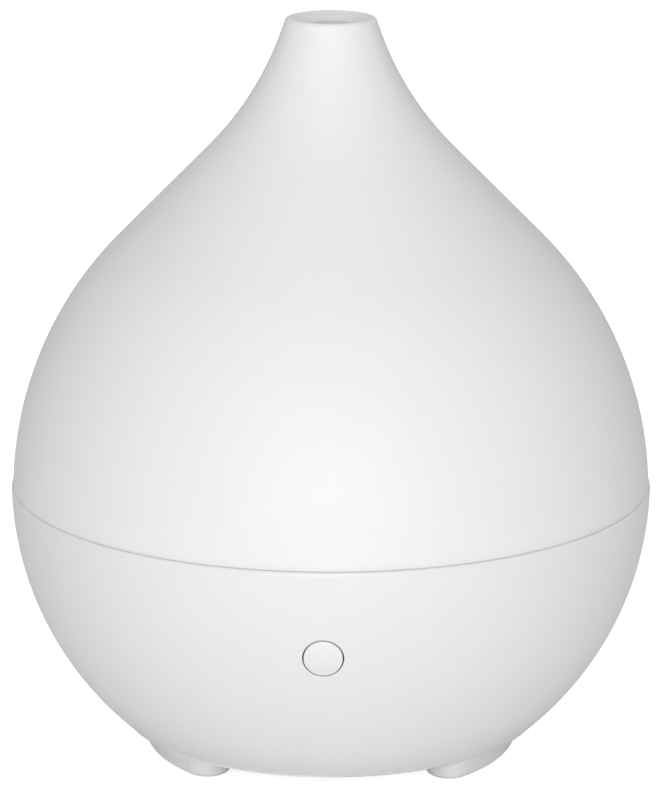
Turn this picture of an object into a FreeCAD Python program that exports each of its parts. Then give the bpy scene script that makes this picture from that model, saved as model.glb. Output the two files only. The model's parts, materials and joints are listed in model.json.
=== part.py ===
import FreeCAD, Part
import os
import re
import Sketcher
from FreeCAD import Placement, Rotation, Vector
from math import atan2, sqrt

# Cool mist humidifier: a round bowl on three arc feet holds a water tank, an ultrasonic disc, a
# small fan and the electronics. A drop-shaped cover with the mist outlet in its tip lifts off.
# Millimetres, +Z up, the origin on the ground below the centre, the front button towards -Y.

SIZES = (
    # overall
    ("ball_radius", 75.0, "outer radius of the bowl, a ball centred in the seam plane"),
    ("base_radius", 48.85, "outer radius of the bowl at its lower edge"),
    ("cover_height", 109.4, "seam to the crest of the outlet lip"),
    ("foot_height", 7.16, "ground to the lower edge of the bowl"),
    # cover
    ("cover_wall", 1.8, "wall of the cover"),
    ("rim_step", 0.4, "how far the bowl's rim stands out past the cover"),
    ("seam_gap", 0.15, "gap between rim and cover"),
    ("seam_lean", 1.9, "degrees the cover leans in at the seam"),
    ("flank_steepness", 1.672, "slope of the straight flank over the mean slope"),
    ("neck_curve", 74.2, "radius of the hollow neck curve"),
    ("neck_radius", 10.6, "outer radius of the neck below the lip"),
    ("tip_lean", 17.65, "degrees the neck leans in at the lip"),
    ("lip_round", 1.15, "rounding of the outlet lip"),
    ("dish_angle", 16.0, "degrees the top face falls towards the outlet"),
    ("outlet_radius", 4.2, "radius of the mist outlet"),
    ("tip_thickness", 3.6, "lip crest to the inside of the tip"),
    ("skirt_wall", 1.5, "wall of the skirt that sits inside the rim"),
    ("skirt_gap", 0.4, "gap between skirt and rim"),
    ("skirt_depth", 2.7, "seam to the foot of the skirt"),
    ("skirt_band", 5.0, "seam to the top of the thick band inside the cover"),
    # mist tube
    ("tube_length", 36.0, "mist tube below the tip"),
    ("tube_wall", 1.0, "wall of the mist tube"),
    ("tube_step", 0.5, "mist tube bore over the outlet, in radius"),
    ("tube_flange", 1.4, "thickness of the mist tube's flange"),
    # bowl
    ("shell_wall", 2.2, "wall of the bowl"),
    ("rim_round", 0.9, "rounding of the bowl's rim"),
    ("edge_round", 0.5, "rounding of the bowl's lower edge"),
    ("edge_width", 1.6, "ring of the bowl seen around the bottom plate"),
    ("plate_thickness", 1.9, "bottom plate"),
    ("plate_inset", 0.1, "bottom plate above the bowl's lower edge"),
    ("plate_gap", 0.3, "gap around the bottom plate"),
    ("flange_width", 4.6, "inner flange of the bowl, opening to its inner edge"),
    ("flange_thickness", 2.0, "inner flange of the bowl"),
    ("ledge_width", 2.2, "ledge that carries the tank"),
    ("ledge_thickness", 1.5, "ledge that carries the tank"),
    # tank
    ("tank_radius", 57.0, "inner radius of the tank"),
    ("tank_wall", 2.0, "wall and floor of the tank"),
    ("tank_corner", 8.0, "inner corner of the tank"),
    ("tank_flange", 2.0, "thickness of the tank's flange"),
    ("tank_gap", 0.4, "gap between the tank's flange and the bowl"),
    ("tank_lip", 1.2, "rounding of the tank's mouth"),
    ("sump_margin", 2.0, "clamp screws to the wall of the sump"),
    ("level_drop", 3.3, "tank mouth down to the full mark"),
    ("level_bead", 0.35, "height and reach of the full mark"),
    ("recess_depth", 5.0, "depth of the sump"),
    ("gasket_thickness", 0.8, "rubber ring under the tank's flange"),
    # air way
    ("fan_size", 30.0, "side of the fan's frame"),
    ("fan_rim", 1.4, "thinnest wall of the fan's frame"),
    ("fan_corner", 3.0, "fan screws from the frame's sides"),
    ("fan_shift", 17.0, "fan axis to the left of the air duct"),
    ("fan_depth", 7.5, "depth of the fan's frame"),
    ("fan_lift", 2.7, "fan above the bottom plate"),
    ("blade_gap", 0.6, "gap between blades and bore"),
    ("blade_count", 7, "blades of the fan"),
    ("fan_floor", 1.0, "floor of the fan's frame"),
    ("spoke_half", 1.2, "half the width of the floor's spokes"),
    ("spoke_rim", 0.4, "ledge around the floor's openings"),
    ("hub_radius", 8.0, "outer radius of the fan's hub"),
    ("hub_wall", 0.8, "wall of the hub"),
    ("hub_rise", 1.6, "underside of the fan to the edge of the hub"),
    ("hub_drop", 0.8, "top of the fan down to the hub"),
    ("magnet_wall", 0.8, "magnet ring inside the hub"),
    ("blade_run", 2.8, "half of a blade's run around the hub"),
    ("blade_wall", 1.0, "thickness of a blade, measured around the hub"),
    ("blade_root", 0.4, "how deep the blades sit in the hub"),
    ("bush_wall", 1.5, "wall of the shaft's bush"),
    ("holder_wall", 0.7, "wall of the bush's holder"),
    ("coil_space", 0.8, "gap between the coils and the magnet"),
    ("coil_slot", 1.2, "slots of the stator"),
    ("shaft_radius", 0.75, "fan shaft"),
    ("running_gap", 0.03, "shaft in its bush, in radius"),
    ("hood_height", 5.5, "fan hood"),
    ("hood_wall", 1.2, "wall of the fan hood"),
    ("duct_space", 1.8, "gap between the light board and the fan hood's riser"),
    ("duct_radius", 5.6, "inner radius of the air duct"),
    ("duct_wall", 1.6, "wall of the air duct"),
    ("duct_gap", 0.2, "gap around the air duct, in radius"),
    ("air_cap_height", 14.0, "air cap without its rounded top"),
    ("cap_dome", 2.0, "rounded top of the air cap"),
    # mist disc
    ("disc_radius", 10.0, "ultrasonic disc"),
    ("disc_thickness", 0.8, "ultrasonic disc"),
    ("piezo_radius", 8.0, "ceramic on the back of the disc"),
    ("piezo_thickness", 0.5, "ceramic on the back of the disc"),
    ("seal_width", 1.8, "silicone outside the disc"),
    ("seal_height", 3.6, "silicone seal"),
    ("seal_lip", 1.4, "silicone over the edge of the disc"),
    ("clamp_thickness", 1.0, "steel clamp ring"),
    ("clamp_edge", 2.6, "clamp screws to the edge of the ring"),
    ("clamp_space", 1.0, "gap between the clamp screws' heads and the fan hood"),
    # boards
    ("board_x", -20.0, "centre of the main board"),
    ("board_y", -7.0, "centre of the main board"),
    ("board_width", 38.0, "main board"),
    ("board_length", 46.0, "main board"),
    ("board_thickness", 1.6, "every circuit board"),
    ("board_lift", 4.2, "main board above the bottom plate"),
    ("board_hole_x", 26.0, "spacing of the main board's screws"),
    ("board_hole_y", 30.0, "spacing of the main board's screws"),
    ("capacitor_radius", 4.0, "electrolytic capacitor"),
    ("capacitor_height", 9.2, "electrolytic capacitor"),
    ("inductor_radius", 4.5, "drum inductor"),
    ("inductor_height", 7.5, "drum inductor"),
    ("chip_at", -4.0, "control chip from the board's centre, both ways"),
    ("chip_width", 5.0, "control chip"),
    ("chip_length", 8.0, "control chip"),
    ("chip_height", 1.6, "control chip"),
    ("transistor_depth", 2.2, "power transistor"),
    ("transistor_width", 9.0, "power transistor"),
    ("transistor_height", 8.5, "power transistor"),
    ("sink_depth", 6.0, "heat sink"),
    ("sink_width", 11.0, "heat sink"),
    ("sink_height", 9.0, "heat sink"),
    ("plug_width", 6.5, "wire plug on the board"),
    ("plug_depth", 4.5, "wire plug on the board"),
    ("plug_height", 6.0, "wire plug on the board"),
    ("light_space", 0.6, "gap between the sump and the light board"),
    ("light_width", 8.0, "width of the light ring board"),
    ("light_height", 1.6, "height of a light"),
    ("light_side", 5.0, "side of a light"),
    # button
    ("button_drop", 20.6, "seam to the button's axis"),
    ("button_radius", 4.3, "button cap"),
    ("button_gap", 0.35, "gap around the cap"),
    ("button_dome", 14.0, "radius of the cap's domed face"),
    ("button_proud", 0.9, "top of the dome past the bowl"),
    ("button_travel", 0.6, "travel of the button"),
    ("sleeve_wall", 2.0, "guide sleeve of the button"),
    ("sleeve_depth", 5.3, "bowl's surface to the inner end of the sleeve"),
    ("collar_reach", 1.1, "retaining collar over the cap, in radius"),
    ("collar_thickness", 1.0, "retaining collar"),
    ("switch_size", 6.0, "switch body"),
    ("switch_depth", 3.0, "switch body"),
    ("plunger_radius", 1.7, "switch plunger"),
    ("plunger_reach", 1.0, "switch plunger out of its body"),
    ("panel_height", 9.0, "button board"),
    ("panel_space", 1.05, "gap between the cap's collar and the button board's posts"),
    ("panel_margin", 3.0, "button board's screws to its ends"),
    # power inlet
    ("jack_rise", 8.2, "axis of the inlet above the bottom plate"),
    ("jack_sink", 9.2, "bowl's surface to the face that the inlet's nut sits on"),
    ("jack_panel", 2.2, "wall that the inlet is fixed in"),
    ("jack_recess", 6.0, "radius of the recess for the plug"),
    ("jack_thread", 3.9, "radius of the inlet's threaded nose"),
    ("jack_bore", 2.8, "radius of the inlet's socket"),
    ("jack_pin", 1.0, "radius of the contact pin"),
    ("jack_side", 9.2, "inlet housing"),
    ("jack_length", 13.0, "inlet housing"),
    ("jack_nut", 1.8, "thickness of the nut"),
    ("nut_flats", 9.2, "nut across its flats"),
    # feet
    ("foot_setback", 2.1, "feet inside the opening of the bowl"),
    ("foot_width", 13.1, "width of the feet"),
    ("foot_bearing", 62.8, "degrees from the front to the middle of either front foot"),
    ("foot_span", 32.0, "degrees from end to end, without the round ends"),
    ("foot_taper", 11.2, "degrees the feet taper towards the ground"),
    ("foot_round", 1.4, "rounding of the feet's lower edge"),
    ("grille_pitch", 3.6, "spacing of the air slots under the fan"),
    ("grille_slot", 1.8, "width of an air slot"),
    ("pad_proud", 0.35, "rubber pad below the foot"),
    ("pad_depth", 1.2, "thickness of the rubber pad"),
    ("pad_inset", 1.0, "pad inside the flat of the foot's underside"),
    # screws
    ("screw_radius", 1.2, "shank of a screw"),
    ("screw_gap", 0.05, "gap around a shank, in radius"),
    ("head_radius", 2.2, "head of a screw"),
    ("head_height", 1.4, "head of a screw"),
    ("head_gap", 0.4, "gap around a sunk head, in radius"),
    ("head_sink", 0.8, "how deep the bottom screws' heads are sunk in the plate"),
    ("post_wall", 1.3, "plastic around a screw"),
    ("base_screw_inset", 2.2, "bottom plate's screws outside the flange's inner edge"),
    ("base_boss", 6.0, "height of the bosses for the bottom plate's screws"),
    ("tank_screws_at", 65.5, "tank's screws from the centre"),
    ("lug_height", 4.0, "lugs for the tank's screws"),
    ("lug_width", 8.4, "lugs for the tank's screws"),
)

WORKED = (
    ("seam_height", "foot_height + sqrt(ball_radius ^ 2 - base_radius ^ 2)"),
    # cover: crown arc, straight flank and neck arc, tangent to each other
    ("cover_radius", "ball_radius - rim_step"),
    ("lean_cos", "cos(seam_lean)"),
    ("lean_sin", "sin(seam_lean)"),
    ("tip_cos", "cos(tip_lean)"),
    ("tip_sin", "sin(tip_lean)"),
    ("neck_rise", "cover_height - lip_round * (1 - tip_sin)"),
    ("flank_slope", "flank_steepness * (cover_radius - neck_radius) / neck_rise"),
    ("flank_cos", "1 / sqrt(1 + flank_slope ^ 2)"),
    ("flank_sin", "flank_slope * flank_cos"),
    ("inward", "neck_radius - cover_radius - neck_curve * (flank_cos - tip_cos)"),
    ("upward", "neck_rise - neck_curve * (flank_sin - tip_sin)"),
    ("turn_share", "1 - flank_cos * lean_cos - flank_sin * lean_sin"),
    ("crown_curve", "(inward * flank_cos + upward * flank_sin) / turn_share"),
    ("crown_x", "cover_radius - crown_curve * lean_cos"),
    ("crown_z", "-crown_curve * lean_sin"),
    ("neck_x", "neck_radius + neck_curve * tip_cos"),
    ("neck_z", "neck_rise + neck_curve * tip_sin"),
    ("crest_radius", "neck_radius - lip_round * tip_cos"),
    ("roof_rise", "cover_height - tip_thickness"),
    ("roof_radius", "neck_x - sqrt((neck_curve + cover_wall) ^ 2 - (neck_z - roof_rise) ^ 2)"),
    ("skirt_outer", "ball_radius - shell_wall - skirt_gap"),
    ("skirt_inner", "skirt_outer - skirt_wall"),
    # bowl, measured from the ground
    ("shell_inner", "ball_radius - shell_wall"),
    ("opening_radius", "base_radius - edge_width"),
    ("flange_radius", "opening_radius - flange_width"),
    ("plate_base", "foot_height + plate_inset"),
    ("plate_top", "plate_base + plate_thickness"),
    ("flange_top", "plate_top + flange_thickness"),
    ("tank_mouth", "seam_height - skirt_depth"),
    ("gasket_top", "tank_mouth - tank_flange"),
    ("ledge_top", "gasket_top - gasket_thickness"),
    ("ledge_radius", "shell_inner - ledge_width"),
    # the works stand on the bottom plate: fan, hood, clamp screws, clamp, seal, sump, tank floor
    ("fan_base", "plate_top + fan_lift"),
    ("fan_top", "fan_base + fan_depth"),
    ("hood_top", "fan_top + hood_height"),
    ("clamp_top", "hood_top + clamp_space + head_height + clamp_thickness"),
    ("sump_under", "clamp_top + seal_height"),
    ("floor_under", "sump_under + recess_depth"),
    ("floor_top", "floor_under + tank_wall"),
    # from the mist disc outwards: seal, clamp screws, sump, lights, air duct, fan
    ("seal_radius", "disc_radius + seal_width"),
    ("clamp_screws_at", "seal_radius + tank_wall + screw_radius"),
    ("clamp_radius", "clamp_screws_at + clamp_edge"),
    ("recess_radius", "clamp_screws_at + sump_margin"),
    ("light_inner", "recess_radius + tank_wall + light_space"),
    ("light_outer", "light_inner + light_width"),
    ("duct_outer", "duct_radius + duct_wall"),
    ("riser_radius", "duct_outer + duct_gap"),
    ("duct_x", "light_outer + duct_space + riser_radius + hood_wall"),
    ("fan_x", "duct_x - fan_shift"),
    ("fan_bore", "fan_size / 2 - fan_rim"),
    ("fan_pitch", "fan_size - 2 * fan_corner"),
    ("hood_radius", "fan_bore - 0.3"),
    ("bush_radius", "shaft_radius + bush_wall"),
    ("holder_radius", "bush_radius + holder_wall"),
    ("magnet_outer", "hub_radius - hub_wall"),
    ("magnet_inner", "magnet_outer - magnet_wall"),
    ("hub_top", "fan_depth - hub_drop"),
    ("coil_radius", "magnet_inner - coil_space"),
    ("coil_height", "fan_depth - 4.4"),
    ("vent_radius", "fan_bore - spoke_rim"),
    # tank
    ("tank_outer", "tank_radius + tank_wall"),
    ("tank_edge", "shell_inner - tank_gap"),
    ("level_height", "tank_mouth - level_drop"),
    # mist disc
    ("disc_under", "clamp_top + (seal_height - disc_thickness) / 2"),
    # boards
    ("board_under", "plate_top + board_lift"),
    ("board_top", "board_under + board_thickness"),
    ("light_under", "floor_under - light_height - board_thickness"),
    # button, measured forwards from the centre
    ("button_height", "seam_height - button_drop"),
    ("dome_share", "1 - (button_dome - button_proud) / ball_radius"),
    ("button_face", "sqrt(ball_radius ^ 2 - button_drop ^ 2)"),
    ("sleeve_end", "button_face - sleeve_depth"),
    ("collar_front", "sleeve_end - 0.3"),
    ("collar_back", "collar_front - collar_thickness"),
    ("switch_front", "collar_back - plunger_reach"),
    ("panel_front", "switch_front - switch_depth"),
    ("screw_hole", "screw_radius + screw_gap"),
    ("post_radius", "screw_hole + post_wall"),
    ("panel_hole", "2 * (button_radius + collar_reach + panel_space + post_radius)"),
    ("panel_width", "panel_hole + 2 * panel_margin"),
    # power inlet, measured backwards from the centre
    ("jack_height", "plate_top + jack_rise"),
    ("jack_face", "sqrt(ball_radius ^ 2 - (seam_height - jack_height) ^ 2) - jack_sink"),
    ("jack_inside", "jack_face - jack_panel"),
    # feet: half of the section, from the bottom plate down to a rounded lower edge
    ("foot_from", "foot_bearing - 90 - foot_span / 2"),
    ("foot_to", "foot_from + foot_span"),
    ("feet_turn", "360 - 2 * foot_bearing"),
    ("foot_middle", "opening_radius - foot_setback - foot_width / 2"),
    ("foot_drop", "plate_base - pad_proud"),
    ("foot_half", "foot_width / 2"),
    ("toe_half", "foot_half - foot_drop * tan(foot_taper)"),
    ("toe_cut", "foot_round / tan(45 + foot_taper / 2)"),
    ("toe_flat", "toe_half - toe_cut"),
    ("toe_side", "toe_half + toe_cut * sin(foot_taper)"),
    ("toe_rise", "toe_cut * cos(foot_taper) - foot_drop"),
    ("pad_half", "toe_flat - pad_inset"),
    ("pad_end", "1.05 * pad_half"),
    # bottom
    ("base_screws_at", "flange_radius + base_screw_inset"),
)

doc = FreeCAD.newDocument("CoolMistHumidifier")
sizes = doc.addObject("Spreadsheet::Sheet", "Sizes")
worked = doc.addObject("Spreadsheet::Sheet", "Worked")
sheet_of = {}


def bound(text):
    """The expression with each size's name led by its sheet's name."""
    def lead(word):
        return sheet_of.get(word.group(), "") + word.group()
    return re.sub(r"[a-z][a-z_]*", lead, str(text))


def fill_sheets():
    for row, (alias, number, note) in enumerate(SIZES, 1):
        sizes.set("A%d" % row, alias)
        sizes.set("B%d" % row, str(number))
        sizes.set("C%d" % row, note)
        sizes.setAlias("B%d" % row, alias)
        sheet_of[alias] = "Sizes."
    for row, (alias, formula) in enumerate(WORKED, 1):
        worked.set("A%d" % row, alias)
        worked.set("B%d" % row, "=" + bound(formula))
        worked.setAlias("B%d" % row, alias)
        sheet_of[alias] = "Worked."
    doc.recompute()


def size(text):
    """The number that an expression in the sizes' names gives."""
    result = sizes.evalExpression(bound(text))
    return float(getattr(result, "Value", result))


def bind(thing, **properties):
    """Tie properties to expressions; a double underscore stands for a dot."""
    for name, text in properties.items():
        thing.setExpression(name.replace("__", "."), bound(text))
    return thing


def place(thing, x=0, y=0, z=0, rotation=None):
    if rotation:
        thing.Placement = Placement(Vector(), rotation)
    return bind(thing, Placement__Base__x=x, Placement__Base__y=y, Placement__Base__z=z)


# ---- sketches --------------------------------------------------------------------------------

def new_body(label, x=0, y=0, z=0, rotation=None):
    body = doc.addObject("PartDesign::Body", label)
    return place(body, x, y, z, rotation)


def new_sketch(body, role="XZ_Plane", lift=0):
    sketch = body.newObject("Sketcher::SketchObject", body.Name + "_sketch")
    plane = [item for item in body.Origin.OriginFeatures if item.Role == role][0]
    sketch.AttachmentSupport = [(plane, "")]
    sketch.MapMode = "FlatFace"
    return bind(sketch, AttachmentOffset__Base__z=lift)


def pin(sketch, element, position, x, y):
    """Fix a point of the sketch at a place given by two expressions."""
    for kind, text, axis in (("DistanceX", x, -2), ("DistanceY", y, -1)):
        if str(text) == "0":
            sketch.addConstraint(Sketcher.Constraint("PointOnObject", element, position, axis))
            continue
        rule = Sketcher.Constraint(kind, -1, 1, element, position, size(text))
        sketch.setExpression("Constraints[%d]" % sketch.addConstraint(rule), bound(text))


def add_outline(sketch, start, *runs):
    """A closed outline. A run is (x, y), or (x, y, radius, turn) for an arc whose turn is 1 to
    the left and -1 to the right."""
    if runs[-1][:2] != start:
        runs += (start,)
    corners = [start] + [run[:2] for run in runs[:-1]]
    points = [Vector(size(x), size(y), 0) for x, y in corners]
    ends = []
    for run, first, last in zip(runs, points, points[1:] + points[:1]):
        if len(run) == 2:
            element = sketch.addGeometry(Part.LineSegment(first, last))
            ends.append((element, 1, 2))
            continue
        radius, turn = size(run[2]), run[3]
        chord = last - first
        across = Vector(-chord.y, chord.x, 0).normalize() * turn
        centre = (first + last) / 2 + across * sqrt(max(radius ** 2 - chord.Length ** 2 / 4, 0))
        head, tail = (first, last) if turn > 0 else (last, first)
        angles = [atan2(p.y - centre.y, p.x - centre.x) for p in (head, tail)]
        circle = Part.Circle(centre, Vector(0, 0, 1), radius)
        element = sketch.addGeometry(Part.ArcOfCircle(circle, *angles))
        ends.append((element, 1, 2) if turn > 0 else (element, 2, 1))
        rule = Sketcher.Constraint("Radius", element, radius)
        sketch.setExpression("Constraints[%d]" % sketch.addConstraint(rule), bound(run[2]))
    for index, (element, first, last) in enumerate(ends):
        following = ends[(index + 1) % len(ends)]
        sketch.addConstraint(Sketcher.Constraint("Coincident", element, last, *following[:2]))
        pin(sketch, element, first, *corners[index])
    return sketch


def add_box(sketch, x, y, width, depth):
    """A rectangle about its centre."""
    left, right = "%s - (%s) / 2" % (x, width), "%s + (%s) / 2" % (x, width)
    low, high = "%s - (%s) / 2" % (y, depth), "%s + (%s) / 2" % (y, depth)
    return add_outline(sketch, (left, low), (right, low), (right, high), (left, high))


def add_circle(sketch, radius, x=0, y=0):
    circle = Part.Circle(Vector(size(x), size(y), 0), Vector(0, 0, 1), size(radius))
    element = sketch.addGeometry(circle)
    pin(sketch, element, 3, x, y)
    rule = Sketcher.Constraint("Radius", element, size(radius))
    sketch.setExpression("Constraints[%d]" % sketch.addConstraint(rule), bound(radius))
    return sketch


# ---- features --------------------------------------------------------------------------------

def revolve(body, sketch, kind="Revolution"):
    feature = body.newObject("PartDesign::" + kind, body.Name + "_" + kind.lower())
    feature.Profile = sketch
    feature.ReferenceAxis = (sketch, ["V_Axis"])
    feature.Angle = 360
    doc.recompute()
    return feature


def pad(body, sketch, length, back=False):
    feature = body.newObject("PartDesign::Pad", body.Name + "_pad")
    feature.Profile = sketch
    feature.Reversed = back
    bind(feature, Length=length)
    doc.recompute()
    return feature


def pocket(body, sketch, depth=None, back=False):
    """Cut right through both ways, or to a depth."""
    before = body.Shape.Volume
    feature = body.newObject("PartDesign::Pocket", body.Name + "_pocket")
    feature.Profile = sketch
    feature.Reversed = back
    if depth is None:
        feature.Type = "ThroughAll"
        feature.SideType = "Symmetric"
    else:
        bind(feature, Length=depth)
    doc.recompute()
    if body.Shape.Volume > before - 1e-6:
        raise ValueError("pocket cuts nothing in " + body.Name)
    return feature


def around(body, features, count):
    """Repeat features about the body's vertical axis."""
    pattern = body.newObject("PartDesign::PolarPattern", body.Name + "_pattern")
    pattern.Originals = features
    axis = [item for item in body.Origin.OriginFeatures if item.Role == "Z_Axis"][0]
    pattern.Axis = (axis, [""])
    pattern.Angle = 360
    pattern.Occurrences = count
    body.Tip = pattern
    doc.recompute()
    return pattern


def turned(label, start, *runs, **where):
    """A body turned about its own vertical axis from one outline of (radius, height)."""
    body = new_body(label, **where)
    revolve(body, add_outline(new_sketch(body), start, *runs))
    return body


def ring(label, inner, outer, thickness, **where):
    """A flat ring, or a disc where the inner radius is 0."""
    return turned(label, (inner, 0), (outer, 0), (outer, thickness), (inner, thickness), **where)


def block(label, width, depth, height, **where):
    """A plain box about its centre, standing on its own origin."""
    body = new_body(label, **where)
    pad(body, add_box(new_sketch(body, "XY_Plane"), 0, 0, width, depth), height)
    return body


def rod(name, radius, length, x=0, y=0, z=0, rotation=None):
    """A Part cylinder, used in booleans."""
    thing = doc.addObject("Part::Cylinder", name)
    bind(thing, Radius=radius, Height=length)
    return place(thing, x, y, z, rotation)


def bar(name, width, depth, height, x=0, y=0, z=0, rotation=None):
    """A Part box with its corner at the place given, used in booleans."""
    thing = doc.addObject("Part::Box", name)
    bind(thing, Length=width, Width=depth, Height=height)
    return place(thing, x, y, z, rotation)


def fused(label, parts):
    thing = doc.addObject("Part::MultiFuse", label)
    thing.Shapes = parts
    return thing


def common(label, first, second):
    thing = doc.addObject("Part::Common", label)
    thing.Base, thing.Tool = first, second
    return thing


def cut(label, whole, tool):
    thing = doc.addObject("Part::Cut", label)
    thing.Base, thing.Tool = whole, tool
    return thing


FORWARD = Rotation(Vector(1, 0, 0), 90)      # the local Z axis points to the front, -Y
BACKWARD = Rotation(Vector(1, 0, 0), -90)    # the local Z axis points to the back, +Y
THIRDS = (-90, 30, 150)                      # directions of the bottom plate's screws
TANK_THIRDS = (90, 210, 330)                 # directions of the tank's screws


def polar(radius, angle):
    """Expressions for x and y at a radius and an angle in degrees."""
    return "%s * cos(%s)" % (radius, angle), "%s * sin(%s)" % (radius, angle)


def pan_head(name, length, x, y, z, rotation=None):
    """A screw whose shank starts under its head and runs along its local Z axis."""
    shank = rod(name + "_shank", "screw_radius", length, x, y, z, rotation)
    down = (rotation or Rotation()).multVec(Vector(0, 0, -1))
    back = ["%s + (%d) * head_height" % (text, round(part)) for text, part in zip((x, y, z), down)]
    head = rod(name + "_head", "head_radius", "head_height", *back, rotation)
    return fused(name, [head, shank])


def screw_set(label, places, length, rotation=None):
    """Identical screws in one node; each place is where the head meets its seat."""
    screws = [pan_head("%s_%d" % (label, number), length, *spot, rotation)
              for number, spot in enumerate(places, 1)]
    group = doc.addObject("Part::Compound", label)
    group.Links = screws
    return group


# ---- cover -----------------------------------------------------------------------------------

def make_top_cover():
    wall_curve, wall_neck = "crown_curve - cover_wall", "neck_curve + cover_wall"
    foot = "crown_x + sqrt(crown_curve ^ 2 - (seam_gap - crown_z) ^ 2)"
    band = "crown_x + sqrt((%s) ^ 2 - (skirt_band - crown_z) ^ 2)" % wall_curve
    slope_in, slope_down = "lip_round * sin(dish_angle)", "lip_round * (1 - cos(dish_angle))"
    dish = ("crest_radius - " + slope_in, "cover_height - " + slope_down)
    fall = "(%s - outlet_radius) * tan(dish_angle)" % dish[0]
    flank_x, flank_z = "crown_x + (%s) * flank_cos", "crown_z + (%s) * flank_sin"
    neck_x, neck_z = "neck_x - (%s) * flank_cos", "neck_z - (%s) * flank_sin"
    return turned(
        "top_cover",
        (foot, "seam_gap"),
        (flank_x % "crown_curve", flank_z % "crown_curve", "crown_curve", 1),
        (neck_x % "neck_curve", neck_z % "neck_curve"),
        ("neck_radius", "neck_rise", "neck_curve", -1),
        ("crest_radius", "cover_height", "lip_round", 1),
        dish + ("lip_round", 1),
        ("outlet_radius", "%s - %s" % (dish[1], fall)),
        ("outlet_radius", "roof_rise"),
        ("roof_radius", "roof_rise"),
        (neck_x % wall_neck, neck_z % wall_neck, wall_neck, 1),
        (flank_x % wall_curve, flank_z % wall_curve),
        (band, "skirt_band", wall_curve, -1),
        ("skirt_inner", "skirt_band - (%s - skirt_inner)" % band),
        ("skirt_inner", "-skirt_depth"),
        ("skirt_outer", "-skirt_depth"),
        ("skirt_outer", "seam_gap"),
        z="seam_height",
    )


def make_mist_tube():
    bore, outside = "outlet_radius + tube_step", "outlet_radius + tube_step + tube_wall"
    return turned(
        "mist_tube",
        (bore, 0), (bore, "-tube_length"), (outside, "-tube_length"), (outside, "-tube_flange"),
        ("roof_radius - duct_gap", "-tube_flange"), ("roof_radius - duct_gap", 0),
        z="seam_height + roof_rise",
    )


# ---- bowl ------------------------------------------------------------------------------------

def at_height(radius, height):
    """Radius of the ball of that radius, centred in the seam plane, at a height."""
    return "sqrt((%s) ^ 2 - (seam_height - (%s)) ^ 2)" % (radius, height)


def make_shell_wall():
    edge, rim = "foot_height + edge_round", "seam_height - rim_round"
    under = "ledge_top - ledge_thickness"
    slope = under + " - ledge_width"
    return turned(
        "shell_wall_only",
        ("opening_radius", "foot_height"),
        ("%s - edge_round" % at_height("ball_radius", edge), "foot_height"),
        (at_height("ball_radius", edge), edge, "edge_round", 1),
        ("sqrt(ball_radius ^ 2 - rim_round ^ 2)", rim, "ball_radius", 1),
        ("ball_radius - rim_round", "seam_height", "rim_round", 1),
        ("shell_inner", "seam_height"),
        (at_height("shell_inner", "ledge_top"), "ledge_top", "shell_inner", -1),
        ("ledge_radius", "ledge_top"),
        ("ledge_radius", under),
        (at_height("shell_inner", slope), slope),
        (at_height("shell_inner", "flange_top"), "flange_top", "shell_inner", -1),
        ("flange_radius", "flange_top"),
        ("flange_radius", "plate_top"),
        ("opening_radius", "plate_top"),
    )


def make_base_shell():
    wall = make_shell_wall()
    ball = doc.addObject("Part::Sphere", "ball")
    bind(ball, Radius="ball_radius")
    place(ball, z="seam_height")
    lumps, holes = [], []
    for number, angle in enumerate(THIRDS, 1):
        x, y = polar("base_screws_at", angle)
        lumps.append(rod("base_boss_%d" % number, "post_radius", "base_boss + 0.5", x, y,
                         "flange_top - 0.5"))
        holes.append(rod("base_hole_%d" % number, "screw_hole", "base_boss + flange_thickness + 2",
                         x, y, "plate_top - 1"))
    for number, angle in enumerate(TANK_THIRDS, 1):
        turn = Rotation(Vector(0, 0, 1), angle)
        x, y = polar("(tank_screws_at - lug_width / 2)", angle)
        side_x, side_y = polar("lug_width / 2", angle - 90)
        lumps.append(bar("tank_lug_%d" % number, "ball_radius - tank_screws_at + lug_width / 2",
                         "lug_width", "lug_height", "%s + %s" % (x, side_x),
                         "%s + %s" % (y, side_y), "ledge_top - lug_height", turn))
        x, y = polar("tank_screws_at", angle)
        holes.append(rod("tank_hole_%d" % number, "screw_hole", "lug_height + 2", x, y,
                         "ledge_top - lug_height - 1"))
    sleeve = "button_radius + button_gap + sleeve_wall"
    lumps.append(rod("button_sleeve", sleeve, "sleeve_depth + ball_radius / 4", 0,
                     "-sleeve_end", "button_height", FORWARD))
    holes.append(rod("button_hole", "button_radius + button_gap", "ball_radius", 0,
                     "-sleeve_end + 1", "button_height", FORWARD))
    for side in (-1, 1):
        x = "%d * panel_hole / 2" % side
        lumps.append(rod("panel_post_%s" % "lr"[side > 0], "post_radius", "ball_radius / 4", x,
                         "-panel_front", "button_height", FORWARD))
        holes.append(rod("panel_hole_%s" % "lr"[side > 0], "screw_hole",
                         "sqrt(shell_inner ^ 2 - button_drop ^ 2) - panel_front - 1", x,
                         "-panel_front + 1", "button_height", FORWARD))
    lumps.append(bar("jack_block", "2 * jack_recess + 2 * shell_wall", "ball_radius - jack_inside",
                     "jack_height + jack_recess + shell_wall - flange_top + 0.5",
                     "-jack_recess - shell_wall", "jack_inside", "flange_top - 0.5"))
    holes.append(rod("plug_recess", "jack_recess", "ball_radius", 0, "jack_face", "jack_height",
                     BACKWARD))
    holes.append(rod("nose_hole", "jack_thread + screw_gap", "ball_radius", 0, "jack_inside - 1",
                     "jack_height", BACKWARD))
    inside = common("shell_lumps", fused("shell_lumps_raw", lumps), ball)
    return cut("base_shell", fused("shell_whole", [wall, inside]), fused("shell_holes", holes))


# ---- tank ------------------------------------------------------------------------------------

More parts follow.
